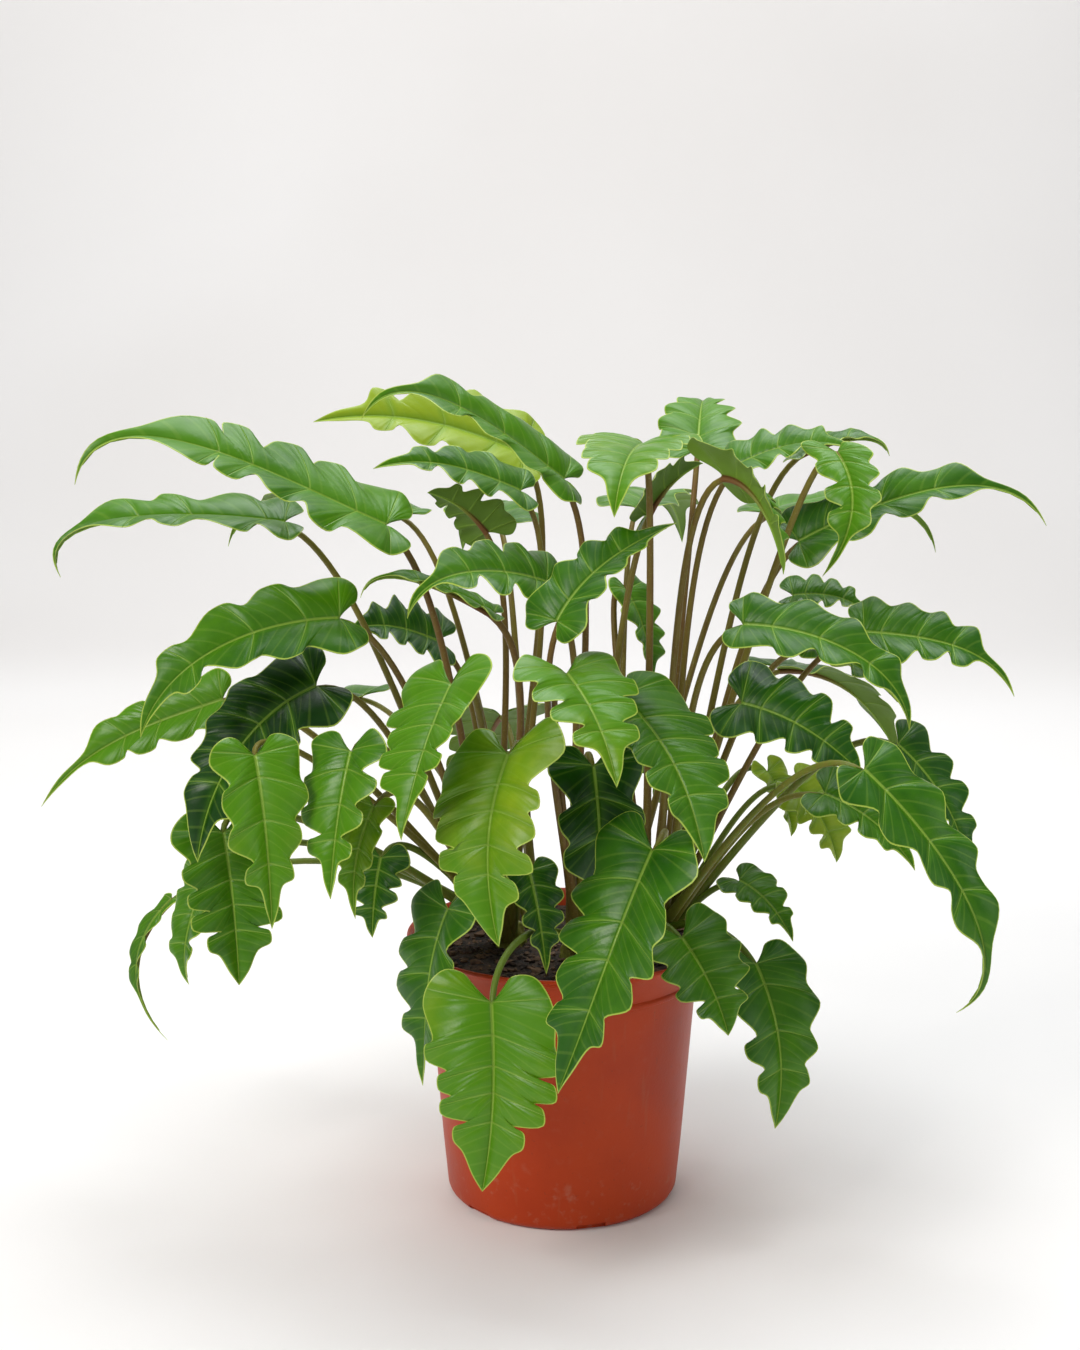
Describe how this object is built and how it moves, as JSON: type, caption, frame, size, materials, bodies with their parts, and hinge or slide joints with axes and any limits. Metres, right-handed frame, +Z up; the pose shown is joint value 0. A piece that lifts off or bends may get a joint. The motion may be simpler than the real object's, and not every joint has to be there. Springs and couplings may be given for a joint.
{
  "type": "philodendron xanadu in a nursery pot",
  "caption": "Bushy house plant with lobed, arching leaves on long petioles, growing in a tapered plastic nursery pot filled with soil.",
  "frame": {"origin": "middle of the pot's flat bottom, on the surface it stands on", "axes": "+Z up, -Y towards the plant's front as pictured, +X to the right seen from the front"},
  "size_m": [0.5953, 0.4753, 0.4997],
  "materials": {
    "pot": "matt moulded plastic, terracotta orange",
    "soil": "damp peat and bark",
    "petiole": "smooth olive green, browner on the tall ones",
    "leaf": "glossy green leaf with a pale midrib and margin"
  },
  "bodies": {
    "root": {"pot": "pot", "soil": "soil", "stems_left": "petiole", "stems_middle": "petiole", "stems_right": "petiole", "spray_back_left": "leaf", "spray_back_right": "leaf", "leaf_c1": "leaf", "leaf_c2": "leaf", "leaf_c3": "leaf", "leaf_c5": "leaf", "leaf_c6": "leaf", "leaf_c7": "leaf", "leaf_c8": "leaf", "leaf_c9": "leaf", "leaf_c11": "leaf", "leaf_l1": "leaf", "leaf_l2": "leaf", "leaf_l3": "leaf", "leaf_l4": "leaf", "leaf_l5": "leaf", "leaf_l6": "leaf", "leaf_l7": "leaf", "leaf_l8": "leaf", "leaf_l9": "leaf", "leaf_l10": "leaf", "leaf_l12": "leaf", "leaf_l13": "leaf", "leaf_l14": "leaf", "leaf_l15": "leaf", "leaf_t1": "leaf", "leaf_t2": "leaf", "leaf_t3": "leaf", "leaf_t4": "leaf", "leaf_t7": "leaf", "leaf_t8": "leaf", "leaf_t9": "leaf", "leaf_t10": "leaf", "leaf_t11": "leaf", "leaf_t12": "leaf", "leaf_t13": "leaf", "leaf_t14": "leaf", "leaf_t15": "leaf", "leaf_t16": "leaf", "leaf_r1": "leaf", "leaf_r2": "leaf", "leaf_r3": "leaf", "leaf_r5": "leaf", "leaf_r6": "leaf", "leaf_r7": "leaf", "leaf_r8": "leaf", "leaf_r9": "leaf", "leaf_r10": "leaf", "leaf_r11": "leaf", "leaf_r12": "leaf", "leaf_b1": "leaf", "leaf_b2": "leaf", "leaf_b3": "leaf"}
  },
  "joints": []
}
